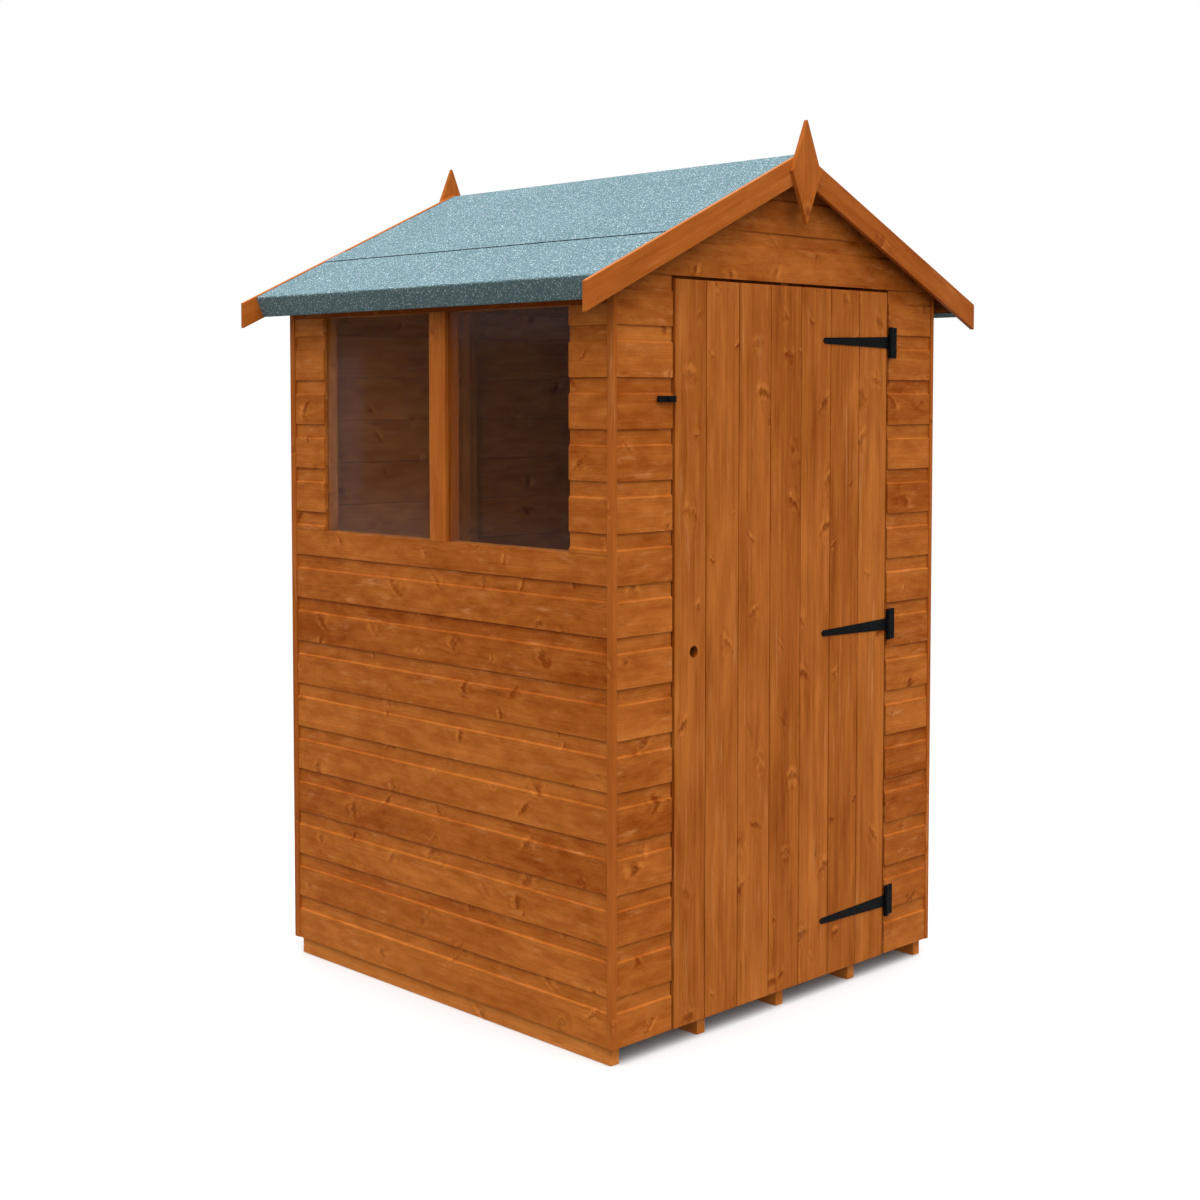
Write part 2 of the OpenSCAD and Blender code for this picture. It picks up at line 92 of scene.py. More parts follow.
# Boards of the door, the floor and the roof
DOOR_BOARD_W = 0.117
DOOR_VEE = 0.0015
DOOR_BACK_VEE = 0.0012
DOOR_JOINT = 0.001
DOOR_JOINT_DEEP = 0.006
FLOOR_BOARDS = 11
ROOF_BOARDS = 7
LOCK_HOLE_STEPS = 36

# Tones of single sides, edges and boards: paler above 0 and darker below. All but the lock hole's paint
# light and shade: on inner sides, under the eave, on the mullion's post, along the bargeboards' upper edges
# and in the door's joints.
# Painted light: the inner sides of the cladding are paler, each wall by its own amount
INNER_PAINTED_LIGHT = 1.3
INNER_PAINTED_LIGHTS = {"back wall": 0.4, "right wall": 3.2}
# Painted shadow under the eave: the strip of cladding over the window is darker
EAVE_PAINTED_SHADOWS = {"left_wall_over_window": -3.5}
POST_PAINTED_SHADE = -2.5
UPPER_EDGE_PAINTED_HIGHLIGHT = 3.0
DOOR_JOINT_PAINTED_SHADE = -1.8
HOLE_TONE = -5.0

# Felt
FELT_FOLD = 0.006
FELT_FOLD_SHARE = 0.4
FELT_STEP = 0.045
FELT_WAVE = 0.0004
FELT_WAVE_SIZE = 0.22
FELT_EDGE_MAX = 0.003
FELT_CUT = 0.0011

# Ironwork
IRON_T = 0.0025
IRON_ARRIS = 0.0006
SCREW_R = 0.0038
SCREW_DOME = 0.0011
SCREW_STEPS = 20
SCREW_PROFILE = ((1, 0), (1, 0.3), (0.8, 0.8), (0.45, 1), (0.3, 0.4))

# Grain: how far along the log a board may start, and where its pith may lie
LOG_LENGTH = 40.0
PITH_ASIDE = 0.05
PITH_NEAR = 0.025
PITH_FAR = 0.12


def colour(red, green, blue):
    """Linear colour of an sRGB one given from 0 to 255."""
    shares = [value / 255 for value in (red, green, blue)]
    return tuple(s / 12.92 if s < 0.04045 else ((s + 0.055) / 1.055) ** 2.4 for s in shares) + (1,)


# Node trees
class Graph:
    """Writes a node tree: numbers, colours or sockets go in, and a socket comes out."""

    def __init__(self, tree):
        self.tree = tree
        tree.nodes.clear()

    def node(self, kind, inputs, output=0, **settings):
        """A node with its inputs set or linked. With output None it gives all its outputs."""
        made = self.tree.nodes.new("ShaderNode" + kind)
        for name, value in settings.items():
            setattr(made, name, value)
        for name, value in inputs.items():
            if isinstance(value, bpy.types.NodeSocket):
                self.tree.links.new(value, made.inputs[name])
            else:
                made.inputs[name].default_value = value
        return made.outputs if output is None else made.outputs[output]

    def math(self, operation, *values):
        return self.node("Math", dict(enumerate(values)), operation=operation)

    def scaled(self, where, along, across, depth):
        """A point with each of its coordinates multiplied."""
        return self.node("VectorMath", {0: where, 1: (along, across, depth)}, operation="MULTIPLY")

    def length(self, vector):
        return self.node("VectorMath", {0: vector}, "Value", operation="LENGTH")

    def noise(self, where, detail=2.0, roughness=0.5):
        """Noise around zero at points that are already scaled."""
        inputs = {"Vector": where, "Scale": 1.0, "Detail": detail, "Roughness": roughness}
        return self.math("SUBTRACT", self.node("TexNoise", inputs), 0.5)

    def band(self, value, low, high, bottom=0.0, top=1.0):
        """A smooth step from bottom at low to top at high."""
        inputs = {"Value": value, "From Min": low, "From Max": high, "To Min": bottom, "To Max": top}
        return self.node("MapRange", inputs, interpolation_type="SMOOTHSTEP")

    def blend(self, share, first, second):
        return self.node("Mix", {0: share, 6: first, 7: second}, 2, data_type="RGBA")

    def weighted(self, *pairs):
        """Sum of values, each times its weight."""
        total = None
        for value, weight in pairs:
            part = self.math("MULTIPLY", value, weight)
            total = part if total is None else self.math("ADD", total, part)
        return total

    def surface(self, shader):
        self.node("OutputMaterial", {"Surface": shader}, None)


def new_graph(name):
    material = bpy.data.materials.new(name)
    material.use_nodes = True
    return material, Graph(material.node_tree)


# Wood. A scale is marks a metre along, across and through the grain.
# A band is where a mark starts and ends, and its strength there.
KNOT_BROWN = colour(92, 44, 10)
RING_W = 0.0042
RING_DRIFT = 0.05
RING_RIPPLE = 1.1
RING_SHARE = 0.16
LATE_START = (0.3, 0.9)
LATE_END = (0.9, 1.0, 1, 0)
KNOT_ALONG = 0.17
KNOT_ACROSS = 0.085
KNOT_SMALL = 0.0025
KNOT_SPREAD = 0.0055
KNOT_RARITY = 0.52
KNOT_LONG = 1.5
KNOT_RAGGED = 1.6
KNOT_HEART = (0.2, 0.9, 0.35, 1)
KNOT_RIM = (0.9, 1.5, 1, 0)
KNOT_DEPTH = 0.08
KNOT_DEPTH_SPREAD = 0.32
FLOW_LONG = 9.0
FLOW_WIDE = 5.0
FLOW_BEND = 1.5
FLOW_FADE = (0.1, 1.0, 0.9, 0.0)
FEATHER_LEAN = 1.2
FEATHER_REACH = 5.0
FEATHER_PALE = 2.2
FEATHER_BOW = 0.16
FEATHER_RAGGED = 5.0
VIVID_BAND = (KNOT_RARITY, 1.0, 0.35, 1.1)
NEAR_BAND = (1.0, FEATHER_REACH, 1, 0)
DIM_BAND = (0.0, 1.8, -0.42, 0)
PALE_BAND = (0.0, 2.0, 0.32, 0)
RAGGED_SCALE = (90, 140, 140)
DRIFT_SCALE = (2.2, 5, 5)
RIPPLE_SCALE = (7, 40, 40)
FIBRE_SCALE = (18, 620, 620)
STREAK_SCALE = (3.2, 120, 120)
FLECK_SCALE = (34, 170, 170)
FLECK_BAND = (0.12, 0.3)
CLOUD_SCALE = (13, 34, 34)
SEAM_SCALE = (5, 45, 45)
SEAM_BAND = (0.0, 0.02, 1, 0)
CRACKED_SCALE = (9, 20, 20)
CRACKED_BAND = (0.12, 0.2)
CRACK_DEPTH = 0.4
BROAD_SCALE = (1.8, 7, 7)
CURL_SCALE = (48, 60, 60)
THIN_ALONG = 10
THIN_ACROSS = 38
THIN_BAND = (0.05, 0.35, 0, 0.6)
SHADE_MIDDLE = 0.43
CLOUD_WEIGHT = 1.15
STREAK_WEIGHT = 0.45
BROAD_WEIGHT = 0.8
FIBRE_WEIGHT = 0.3
FLECK_WEIGHT = 0.2
CURL_WEIGHT = 2.0
TONE_WEIGHT = 0.16
# Share of fibres, streaks, late wood and knots in the relief, and of all but streaks in the roughness
RELIEF_WEIGHTS = (0.5, 0.35, 0.25, 0.3)
ROUGH_WEIGHTS = (0.25, -0.08, -0.1)


def wood(name, light, dark, roughness, relief, lengthwise=1.0):
    """Stained softwood: grain that bends round knots, year rings, cloudy staining and a tone per board,
    which also carries painted light and shade.

    A lengthwise value below 1 draws the marks of the staining out along the grain.
    """
    material, g = new_graph(name)
    grain = g.node("Attribute", {}, "Vector", attribute_name="grain")
    tone = g.node("Attribute", {}, "Fac", attribute_name="tone")
    along, across, depth = g.node("SeparateXYZ", {0: grain}, None)

    # Knots, each somewhere in its own cell of the board's plane
    cells = g.scaled(grain, 1 / KNOT_ALONG, 1 / KNOT_ACROSS, 0)
    voronoi = g.node("TexVoronoi", {"Vector": cells, "Scale": 1.0}, None, voronoi_dimensions="2D")
    chance, size, strength = g.node("SeparateColor", {0: voronoi["Color"]}, None)
    present = g.math("GREATER_THAN", chance, KNOT_RARITY)
    radius = g.math("MULTIPLY_ADD", size, KNOT_SPREAD, KNOT_SMALL)
    middle = g.scaled(voronoi["Position"], KNOT_ALONG, KNOT_ACROSS, 0)
    offset = g.node("VectorMath", {0: grain, 1: middle}, operation="SUBTRACT")
    ahead, aside, _ = g.node("SeparateXYZ", {0: offset}, None)
    place = g.node("CombineXYZ", {0: g.math("DIVIDE", ahead, radius), 1: g.math("DIVIDE", aside, radius)})

    def ellipse(long, wide):
        return g.length(g.scaled(place, 1 / long, 1 / wide, 0))

    ragged = g.noise(g.scaled(grain, *RAGGED_SCALE), detail=3)
    reach = g.math("MULTIPLY_ADD", ragged, KNOT_RAGGED, ellipse(KNOT_LONG, 1.0))
    rim = g.math("MULTIPLY", g.band(reach, *KNOT_HEART), g.band(reach, *KNOT_RIM))
    core = g.math("MULTIPLY", present, rim)
    flow = g.math("MULTIPLY", present, g.band(ellipse(FLOW_LONG, FLOW_WIDE), *FLOW_FADE))

    # A dark and a pale stroke of grain that lean across each knot
    lean = g.math("MULTIPLY_ADD", strength, 2 * FEATHER_LEAN, -FEATHER_LEAN)
    run, wide, _ = g.node("SeparateXYZ", {0: place}, None)
    leaning = g.math("SUBTRACT", run, g.math("MULTIPLY", lean, wide))
    bow = g.math("MULTIPLY_ADD", size, 2 * FEATHER_BOW, -FEATHER_BOW)
    bowed = g.math("MULTIPLY_ADD", bow, g.math("MULTIPLY", wide, wide), leaning)
    stroke = g.math("MULTIPLY_ADD", ragged, FEATHER_RAGGED, bowed)
    vivid = g.math("MULTIPLY", present, g.band(chance, *VIVID_BAND))
    near = g.math("MULTIPLY", vivid, g.band(g.math("ABSOLUTE", wide), *NEAR_BAND))
    dim = g.band(g.math("ABSOLUTE", stroke), *DIM_BAND)
    pale = g.band(g.math("ABSOLUTE", g.math("SUBTRACT", stroke, FEATHER_PALE)), *PALE_BAND)
    feather = g.math("MULTIPLY", near, g.math("ADD", dim, pale))

    # Grain that parts round the knots and trails off behind them
    parted = g.math("SUBTRACT", across, g.math("MULTIPLY", aside, flow))
    trail = g.math("MULTIPLY", g.math("ABSOLUTE", aside), flow)
    bent = g.math("MULTIPLY_ADD", trail, FLOW_BEND, along)
    fibres = g.node("CombineXYZ", {0: bent, 1: parted, 2: depth})
    drift = g.noise(g.scaled(grain, *DRIFT_SCALE))
    ripple = g.noise(g.scaled(fibres, *RIPPLE_SCALE))
    side = g.math("MULTIPLY_ADD", drift, RING_DRIFT, parted)
    flat = g.node("CombineXYZ", {0: side, 1: depth, 2: 0.0})
    pith = g.length(flat)
    year = g.math("FRACT", g.weighted((pith, 1 / RING_W), (ripple, RING_RIPPLE)))
    late = g.math("MULTIPLY", g.band(year, *LATE_START), g.band(year, *LATE_END))

    # Fibres and staining
    drawn = g.scaled(fibres, lengthwise, 1, 1)
    fibre = g.noise(g.scaled(fibres, *FIBRE_SCALE), detail=3, roughness=0.6)
    streak = g.noise(g.scaled(drawn, *STREAK_SCALE), detail=4, roughness=0.6)
    fleck = g.band(g.noise(g.scaled(fibres, *FLECK_SCALE)), *FLECK_BAND)
    cloud = g.noise(g.scaled(drawn, *CLOUD_SCALE), detail=4, roughness=0.6)
    seam = g.math("ABSOLUTE", g.noise(g.scaled(drawn, *SEAM_SCALE), detail=1))
    cracked = g.band(g.noise(g.scaled(drawn, *CRACKED_SCALE), detail=1), *CRACKED_BAND)
    crack = g.math("MULTIPLY", cracked, g.band(seam, *SEAM_BAND))
    broad = g.noise(g.scaled(grain, *BROAD_SCALE))
    curl = g.math("MULTIPLY", flow, g.noise(g.scaled(fibres, *CURL_SCALE)))
    shade = g.weighted(
        (cloud, CLOUD_WEIGHT),
        (streak, STREAK_WEIGHT / math.sqrt(lengthwise)),
        (broad, BROAD_WEIGHT),
        (fibre, FIBRE_WEIGHT),
        (fleck, FLECK_WEIGHT),
        (curl, CURL_WEIGHT),
        (tone, TONE_WEIGHT),
    )
    share = g.node("Clamp", {"Value": g.math("ADD", g.math("ADD", shade, feather), SHADE_MIDDLE)})
    narrow = THIN_ACROSS / math.sqrt(lengthwise)
    patchy = g.noise(g.scaled(drawn, THIN_ALONG, narrow, narrow), detail=4, roughness=0.65)
    thin = g.band(patchy, *THIN_BAND)
    body = g.blend(thin, g.blend(share, dark, light), STAIN_THIN)
    ringed = g.blend(g.math("MULTIPLY", late, RING_SHARE), body, dark)
    deep = g.math("MULTIPLY_ADD", strength, KNOT_DEPTH_SPREAD, KNOT_DEPTH)
    marked = g.math("MAXIMUM", g.math("MULTIPLY", core, deep), g.math("MULTIPLY", crack, CRACK_DEPTH))
    stained = g.blend(marked, ringed, KNOT_BROWN)

    # Surface
    height = g.weighted(*zip((fibre, streak, late, core), RELIEF_WEIGHTS))
    bump = g.node("Bump", {"Strength": relief, "Distance": 0.0008, "Height": height})
    rough = g.math("ADD", g.weighted(*zip((fibre, late, core), ROUGH_WEIGHTS)), roughness)
    inputs = {"Base Color": stained, "Roughness": rough, "Specular IOR Level": 0.04, "Normal": bump}
    g.surface(g.node("BsdfPrincipled", inputs))
    return material


# Roofing felt
FELT_WHITE = colour(212, 224, 228)
FELT_GREEN = colour(113, 142, 150)
FELT_DARK = colour(68, 91, 98)
# Painted shade: the felt's colours where it stands steep or faces down
FELT_PAINTED_SHADE = colour(99, 121, 123)
FELT_DARK_PAINTED_SHADE = colour(68, 88, 90)
FELT_WHITE_PAINTED_SHADE = colour(186, 198, 200)
BITUMEN = colour(20, 24, 26)
GRANULES = 460.0
PATCH_SCALE = (6, 6, 6)
PATCH_SHARE = 0.3
# How far a face looks up before the painted shade gives way to the paler colours
PAINTED_LIGHT_BAND = (0.1, 0.8)
WHITE_BAND = (0.87, 1.0, 0, 0.9)


def felt(name):
    """Mineral felt: white and dark granules on grey green, with painted light: paler where it faces up and
    darker where it stands steep or faces down.
    """
    material, g = new_graph(name)
    where = g.node("TexCoord", {}, "Object")
    cut = g.node("Attribute", {}, "Fac", attribute_name="tone")
    granules = g.node("TexVoronoi", {"Vector": where, "Scale": GRANULES}, None)
    first, second, _ = g.node("SeparateColor", {0: granules["Color"]}, None)
    patch = g.noise(g.scaled(where, *PATCH_SCALE), detail=3)
    _, _, up = g.node("SeparateXYZ", {0: g.node("NewGeometry", {}, "Normal")}, None)
    # Painted light: faces that look up take the paler colours, the others the painted shade
    painted_light = g.band(up, *PAINTED_LIGHT_BAND)
    ground = g.blend(painted_light, FELT_PAINTED_SHADE, FELT_GREEN)
    dark = g.blend(painted_light, FELT_DARK_PAINTED_SHADE, FELT_DARK)
    white = g.blend(painted_light, FELT_WHITE_PAINTED_SHADE, FELT_WHITE)
    shaded = g.blend(g.math("MULTIPLY_ADD", patch, PATCH_SHARE, first), dark, ground)
    speckled = g.blend(g.band(second, *WHITE_BAND), shaded, white)
    edged = g.blend(cut, speckled, BITUMEN)
    bump = g.node("Bump", {"Strength": 0.5, "Distance": 0.0012, "Height": second})
    inputs = {"Base Color": edged, "Roughness": 0.9, "Specular IOR Level": 0.1, "Normal": bump}
    g.surface(g.node("BsdfPrincipled", inputs))
    return material


# Iron and glass
IRON_BLACK = colour(7, 8, 9)
IRON_WORN = colour(13, 14, 15)
PEEL_SCALE = (700, 700, 700)
WORN_SCALE = (60, 60, 60)
WORN_BAND = (-0.2, 0.3)
IRON_ROUGH = 0.42
IRON_ROUGH_SPREAD = 0.25


def iron(name):
    """Black powder coat with a fine orange peel."""
    material, g = new_graph(name)
    where = g.node("TexCoord", {}, "Object")
    peel = g.noise(g.scaled(where, *PEEL_SCALE))
    worn = g.noise(g.scaled(where, *WORN_SCALE), detail=3)
    tinted = g.blend(g.band(worn, *WORN_BAND), IRON_BLACK, IRON_WORN)
    rough = g.math("MULTIPLY_ADD", worn, IRON_ROUGH_SPREAD, IRON_ROUGH)
    bump = g.node("Bump", {"Strength": 0.2, "Distance": 0.0003, "Height": peel})
    inputs = {"Base Color": tinted, "Roughness": rough, "Specular IOR Level": 0.03, "Normal": bump}
    g.surface(g.node("BsdfPrincipled", inputs))
    return material


GLASS_TINT = colour(244, 246, 236)
GLASS_SHADE = colour(196, 198, 196)
# Painted reflection: a pale purple diffuse layer over the glass, faint everywhere and stronger in patches
GLASS_PAINTED_REFLECTION = colour(168, 150, 160)
PAINTED_REFLECTION_SHARE = 0.025
PAINTED_REFLECTION_SCALE = (3, 3, 1.2)
PAINTED_REFLECTION_EVEN = 0.1
PAINTED_REFLECTION_CLOUDS = 0.1
PAINTED_REFLECTION_PATCHES = (
    ((0.27, 0.36, 0, 1), (1.58, 1.70, 1, 0)),
    ((0.0, 0.1, 0, 1), (1.17, 1.36, 1, 0)),
    ((-0.05, 0.0, 1, 0), (1.62, 1.71, 0, 1.4)),
    ((-0.05, 0.0, 1, 0), (1.17, 1.28, 0.5, 0)),
)


def glass(name):
    """Clear glazing with a painted reflection, faint and pale purple, towards some edges. Light passes
    straight through it.

    Each patch of painted reflection is a band along the wall and a band upwards.
    """
    material, g = new_graph(name)
    where = g.node("TexCoord", {}, "Object")
    _, along, up = g.node("SeparateXYZ", {0: where}, None)
    reflection_share = g.math("MULTIPLY_ADD", g.noise(g.scaled(where, *PAINTED_REFLECTION_SCALE)), PAINTED_REFLECTION_CLOUDS, PAINTED_REFLECTION_EVEN)
    for sideways, upwards in PAINTED_REFLECTION_PATCHES:
        patch = g.math("MULTIPLY", g.band(along, *sideways), g.band(up, *upwards))
        reflection_share = g.math("MAXIMUM", reflection_share, patch)
    inputs = {"Base Color": GLASS_TINT, "Roughness": 0.0, "IOR": 1.08, "Transmission Weight": 1.0}
    pane = g.node("BsdfPrincipled", inputs)
    # The painted reflection, a diffuse shader mixed over the pane
    reflection_paint = g.node("BsdfDiffuse", {"Color": GLASS_PAINTED_REFLECTION})
    painted_light = g.node("MixShader", {0: g.math("MULTIPLY", reflection_share, PAINTED_REFLECTION_SHARE), 1: pane, 2: reflection_paint})
    clear = g.node("BsdfTransparent", {"Color": GLASS_SHADE})
    shadow = g.node("LightPath", {}, "Is Shadow Ray")
    g.surface(g.node("MixShader", {0: shadow, 1: painted_light, 2: clear}))
    return material


# Stains, the pale and the dark tone of each kind of board
STAIN_LIGHT = colour(192, 114, 48)
STAIN_DARK = colour(130, 58, 5)
STAIN_THIN = colour(204, 140, 86)
TRIM_LIGHT = colour(180, 102, 40)
TRIM_DARK = colour(140, 68, 17)
DOOR_LIGHT = colour(187, 111, 47)
DOOR_DARK = colour(125, 56, 6)
SAWN_LIGHT = colour(188, 112, 50)
SAWN_DARK = colour(128, 66, 20)
# Painted light: the bearers are paler than the other sawn wood, to light them under the edge of the
# cladding where shade falls
BEARER_PALE_PAINTED_LIGHT = colour(216, 136, 66)
BEARER_DARK_PAINTED_LIGHT = colour(164, 87, 26)
PLANED_LIGHT = colour(190, 120, 62)
PLANED_DARK = colour(130, 74, 32)

MATERIALS = {
    "cladding": wood("stained_cladding", STAIN_LIGHT, STAIN_DARK, roughness=0.56, relief=0.3),
    "door": wood("stained_door", DOOR_LIGHT, DOOR_DARK, roughness=0.56, relief=0.3, lengthwise=0.35),
    "trim": wood("stained_trim", TRIM_LIGHT, TRIM_DARK, roughness=0.52, relief=0.25, lengthwise=0.5),
    "framing": wood("sawn_framing", SAWN_LIGHT, SAWN_DARK, roughness=0.7, relief=0.5),
    "flooring": wood(
        "planed_flooring", PLANED_LIGHT, PLANED_DARK, roughness=0.65, relief=0.35, lengthwise=0.5
    ),
    "bearers": wood("sawn_bearers_painted_light", BEARER_PALE_PAINTED_LIGHT, BEARER_DARK_PAINTED_LIGHT, roughness=0.72, relief=0.5),
    "roof_boards": wood(
        "sawn_roof_boards", SAWN_LIGHT, SAWN_DARK, roughness=0.68, relief=0.4, lengthwise=0.5
    ),
    "felt": felt("mineral_felt"),
    "glazing": glass("clear_glazing"),
    "ironwork": iron("black_iron"),
}


# Outlines in the plane of a section
def rounded(corners):
    """Closed outline through corners (x, y, reach), each eased off over its reach along both sides."""
    outline = []
    for i, (x, y, reach) in enumerate(corners):
        here = Vector((x, y))
        if not reach:
            outline.append(here)
            continue
        before = Vector(corners[i - 1][:2]) - here
        after = Vector(corners[(i + 1) % len(corners)][:2]) - here
        start = here + before.normalized() * reach
        end = here + after.normalized() * reach
        for step in range(CURVE_STEPS + 1):
            t = step / CURVE_STEPS
            outline.append(start.lerp(here, t).lerp(here.lerp(end, t), t))
    return outline


def clipped(outline, level, side):
    """The part of an outline above a level of its second coordinate for side 1, or below it for -1."""
    kept = []
    for i, here in enumerate(outline):
        before = outline[i - 1]
        here_in = side * (here.y - level) >= 0
        if here_in != (side * (before.y - level) >= 0):
            kept.append(before.lerp(here, (level - before.y) / (here.y - before.y)))
        if here_in:
            kept.append(here)
    return [point for i, point in enumerate(kept) if (point - kept[i - 1]).length > WELD]


def with_level(outline, level):
    """The outline with points added where it crosses a level."""
    crossed = []
    for i, here in enumerate(outline):
        before = outline[i - 1]
        if (before.y - level) * (here.y - level) < 0:
            crossed.append(before.lerp(here, (level - before.y) / (here.y - before.y)))
        crossed.append(here)
    return crossed


def divided(outline, step):
    """The outline with its long sides cut into lengths of at most a step."""
    points = []
    for i, here in enumerate(outline):
        before = outline[i - 1]
        parts = math.ceil((here - before).length / step)
        points += [before.lerp(here, (part + 1) / parts) for part in range(parts)]
    return points


def around(steps):
    """Angles of a full turn in equal steps."""
    return [2 * math.pi * i / steps for i in range(steps)]


def turn_of(outline):
    """1 for an outline that runs anticlockwise, and -1 for clockwise."""
    doubled = sum(outline[i - 1].cross(here) for i, here in enumerate(outline))
    return math.copysign(1, doubled)


def inset(outline, distance):
    """The outline drawn in by a distance at each corner."""
    turn = turn_of(outline)
    drawn = []
    for i, here in enumerate(outline):
        before = (here - outline[i - 1]).normalized()
        after = (outline[(i + 1) % len(outline)] - here).normalized()
        normal = before + after
        square = 1 + before.dot(after)
        drawn.append(here + Vector((-normal.y, normal.x)) * (turn * distance / max(square, SHARPEST_MITRE)))
    return drawn


# Meshes
def ring_faces(rings, count):
    """Quads between rings of the same number of points, which are numbered one ring after another."""
    faces = []
    for ring in range(rings - 1):
        for i in range(count):
            j = (i + 1) % count
            first = ring * count
            faces.append([first + i, first + j, first + count + j, first + count + i])
    return faces


def loft(rings):
    """Points and faces of a closed form through rings, with a flat cap at each end."""
    count = len(rings[0])
    points = [point for ring in rings for point in ring]
    last = len(points) - count
    caps = [list(range(count)), list(range(last, len(points)))]
    return points, ring_faces(len(rings), count) + caps


def solids(node):
    """Points and faces of each separate solid of a CAD node, with its flat faces whole."""
    mesh = bmesh.new()
    mesh.from_mesh(frame["nodes"][node].data)
    bmesh.ops.remove_doubles(mesh, verts=mesh.verts, dist=WELD)
    bmesh.ops.dissolve_limit(mesh, angle_limit=FLAT_ANGLE, verts=mesh.verts, edges=mesh.edges)
    mesh.verts.index_update()
    done = set()
    found = []
    for start in mesh.verts:
        if start in done:
            continue
        group = [start]
        done.add(start)
        for vert in group:
            others = [edge.other_vert(vert) for edge in vert.link_edges]
            fresh = [other for other in others if other not in done]
            done.update(fresh)
            group += fresh
        number = {vert: i for i, vert in enumerate(group)}
        walls = {side for vert in group for side in vert.link_faces}
        faces = [[number[vert] for vert in side.verts] for side in sorted(walls, key=lambda f: f.index)]
        found.append(([vert.co.copy() for vert in group], faces))
    mesh.free()
    return sorted(found, key=lambda solid: [round(value, 4) for value in corners_of(solid[0])[0]])


def corners_of(points):
    """Lowest and highest corner of some points."""
    low = Vector([min(point[i] for point in points) for i in range(3)])
    high = Vector([max(point[i] for point in points) for i in range(3)])
    return low, high


def softened(points, faces, radius):
    """The solid with its sharp edges rounded."""
    mesh = bmesh.new()
    verts = [mesh.verts.new(point) for point in points]
    for face in faces:
        mesh.faces.new([verts[i] for i in face])
    mesh.normal_update()
    sharp = [edge for edge in mesh.edges if edge.calc_face_angle(0) > SHARP_ANGLE]
    bmesh.ops.bevel(mesh, geom=sharp, offset=radius, segments=2, profile=0.5, affect="EDGES")
    mesh.verts.index_update()
    soft_points = [vert.co.copy() for vert in mesh.verts]
    soft_faces = [[vert.index for vert in face.verts] for face in mesh.faces]
    mesh.free()
    return soft_points, soft_faces


class Pile:
    """Timbers or fittings that share one mesh. Each has its own place in a log and its own tone."""

    def __init__(self):
        self.points = []
        self.faces = []
        self.grain = []
        self.tone = []

    def add(self, points, faces, along, face, key, origin=None):
        """One timber. Its grain runs along, its wide side looks towards face, and key names it."""
        rng = random.Random(key)
        start = rng.uniform(0, LOG_LENGTH)
        aside = rng.uniform(-PITH_ASIDE, PITH_ASIDE)
        away = rng.uniform(PITH_NEAR, PITH_FAR) * rng.choice((-1, 1))
        tone = rng.uniform(-1, 1)
        across = along.cross(face)
        if origin is None:
            origin = sum(points, Vector()) / len(points)
        first = len(self.points)
        for point in points:
            offset = point - origin
            place = (offset.dot(along) + start, offset.dot(across) - aside, offset.dot(face) - away)
            self.grain.append(place)
            self.tone.append(tone)
        self.points += points
        self.faces += [[first + i for i in corners] for corners in faces]

    def paint_light_and_shade(self, count, change, test=None):
        """Paints light and shade into the tone of the last points, or of those among them that pass a test.
        """
        for i in range(len(self.points) - count, len(self.points)):
            if test is None or test(self.points[i]):
                self.tone[i] += change

    def mesh(self, name):
        """The finished mesh, with outward faces and smooth rounded edges."""
        mesh = bpy.data.meshes.new(name)
        mesh.from_pydata(self.points, [], self.faces)
        grain = mesh.attributes.new("grain", "FLOAT_VECTOR", "POINT")
        grain.data.foreach_set("vector", [value for place in self.grain for value in place])
        tone = mesh.attributes.new("tone", "FLOAT", "POINT")
        tone.data.foreach_set("value", self.tone)
        outward = bmesh.new()
        outward.from_mesh(mesh)
        bmesh.ops.recalc_face_normals(outward, faces=outward.faces)
        outward.to_mesh(mesh)
        outward.free()
        settle_normals(mesh)
        return mesh


def settle_normals(mesh):
    """Corner normals weighted by area, so that wide faces stay flat beside their rounded edges."""
    normals = [face.normal.copy() for face in mesh.polygons]
    areas = [face.area for face in mesh.polygons]
    touching = [[] for _ in mesh.vertices]
    for face in mesh.polygons:
        for vert in face.vertices:
            touching[vert].append(face.index)
    level = math.cos(SHARP_ANGLE)
    corners = []
    for face in mesh.polygons:
        own = normals[face.index]
        for vert in face.vertices:
            near = [i for i in touching[vert] if normals[i].dot(own) > level]
            corners.append(sum((normals[i] * areas[i] for i in near), Vector()).normalized())
    mesh.shade_smooth()
    mesh.normals_split_custom_set(corners)


def publish(pile, name, slot, body):
    """Makes the piece, gives it its finish and lets it ride on its body."""
    mesh = pile.mesh(name)
    mesh.materials.append(MATERIALS[slot])
    piece = bpy.data.objects.new(name, mesh)
    bpy.context.scene.collection.objects.link(piece)
    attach(piece, body)
    return piece


def stand_for(pile, node):
    """Makes the piece that shows in place of a CAD node."""
    piece = publish(pile, node + "_model", SLOT_OF[node], BODY_OF[node])
    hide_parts(node)


def lie_of(points, faces):
    """The way a timber runs, along its longest edge, and the way its largest side looks."""
    edges = [points[face[i]] - points[face[i - 1]] for face in faces for i in range(len(face))]
    along = max(edges, key=lambda edge: round(edge.length, 5)).normalized()
    normals = []
    for face in faces:
        doubled = sum((points[face[i - 1]].cross(points[face[i]]) for i in range(len(face))), Vector())
        normals.append(doubled)
    return along, max(normals, key=lambda normal: round(normal.length, 6)).normalized()


def eased(node, radius, along=None):
    """The solids of a CAD node with eased edges, and grain along their length or as given."""
    pile = Pile()
    for number, (points, faces) in enumerate(solids(node)):
        length, face = lie_of(points, faces)
        pile.add(*softened(points, faces, radius), along or length, face, f"{node} {number}")
    stand_for(pile, node)


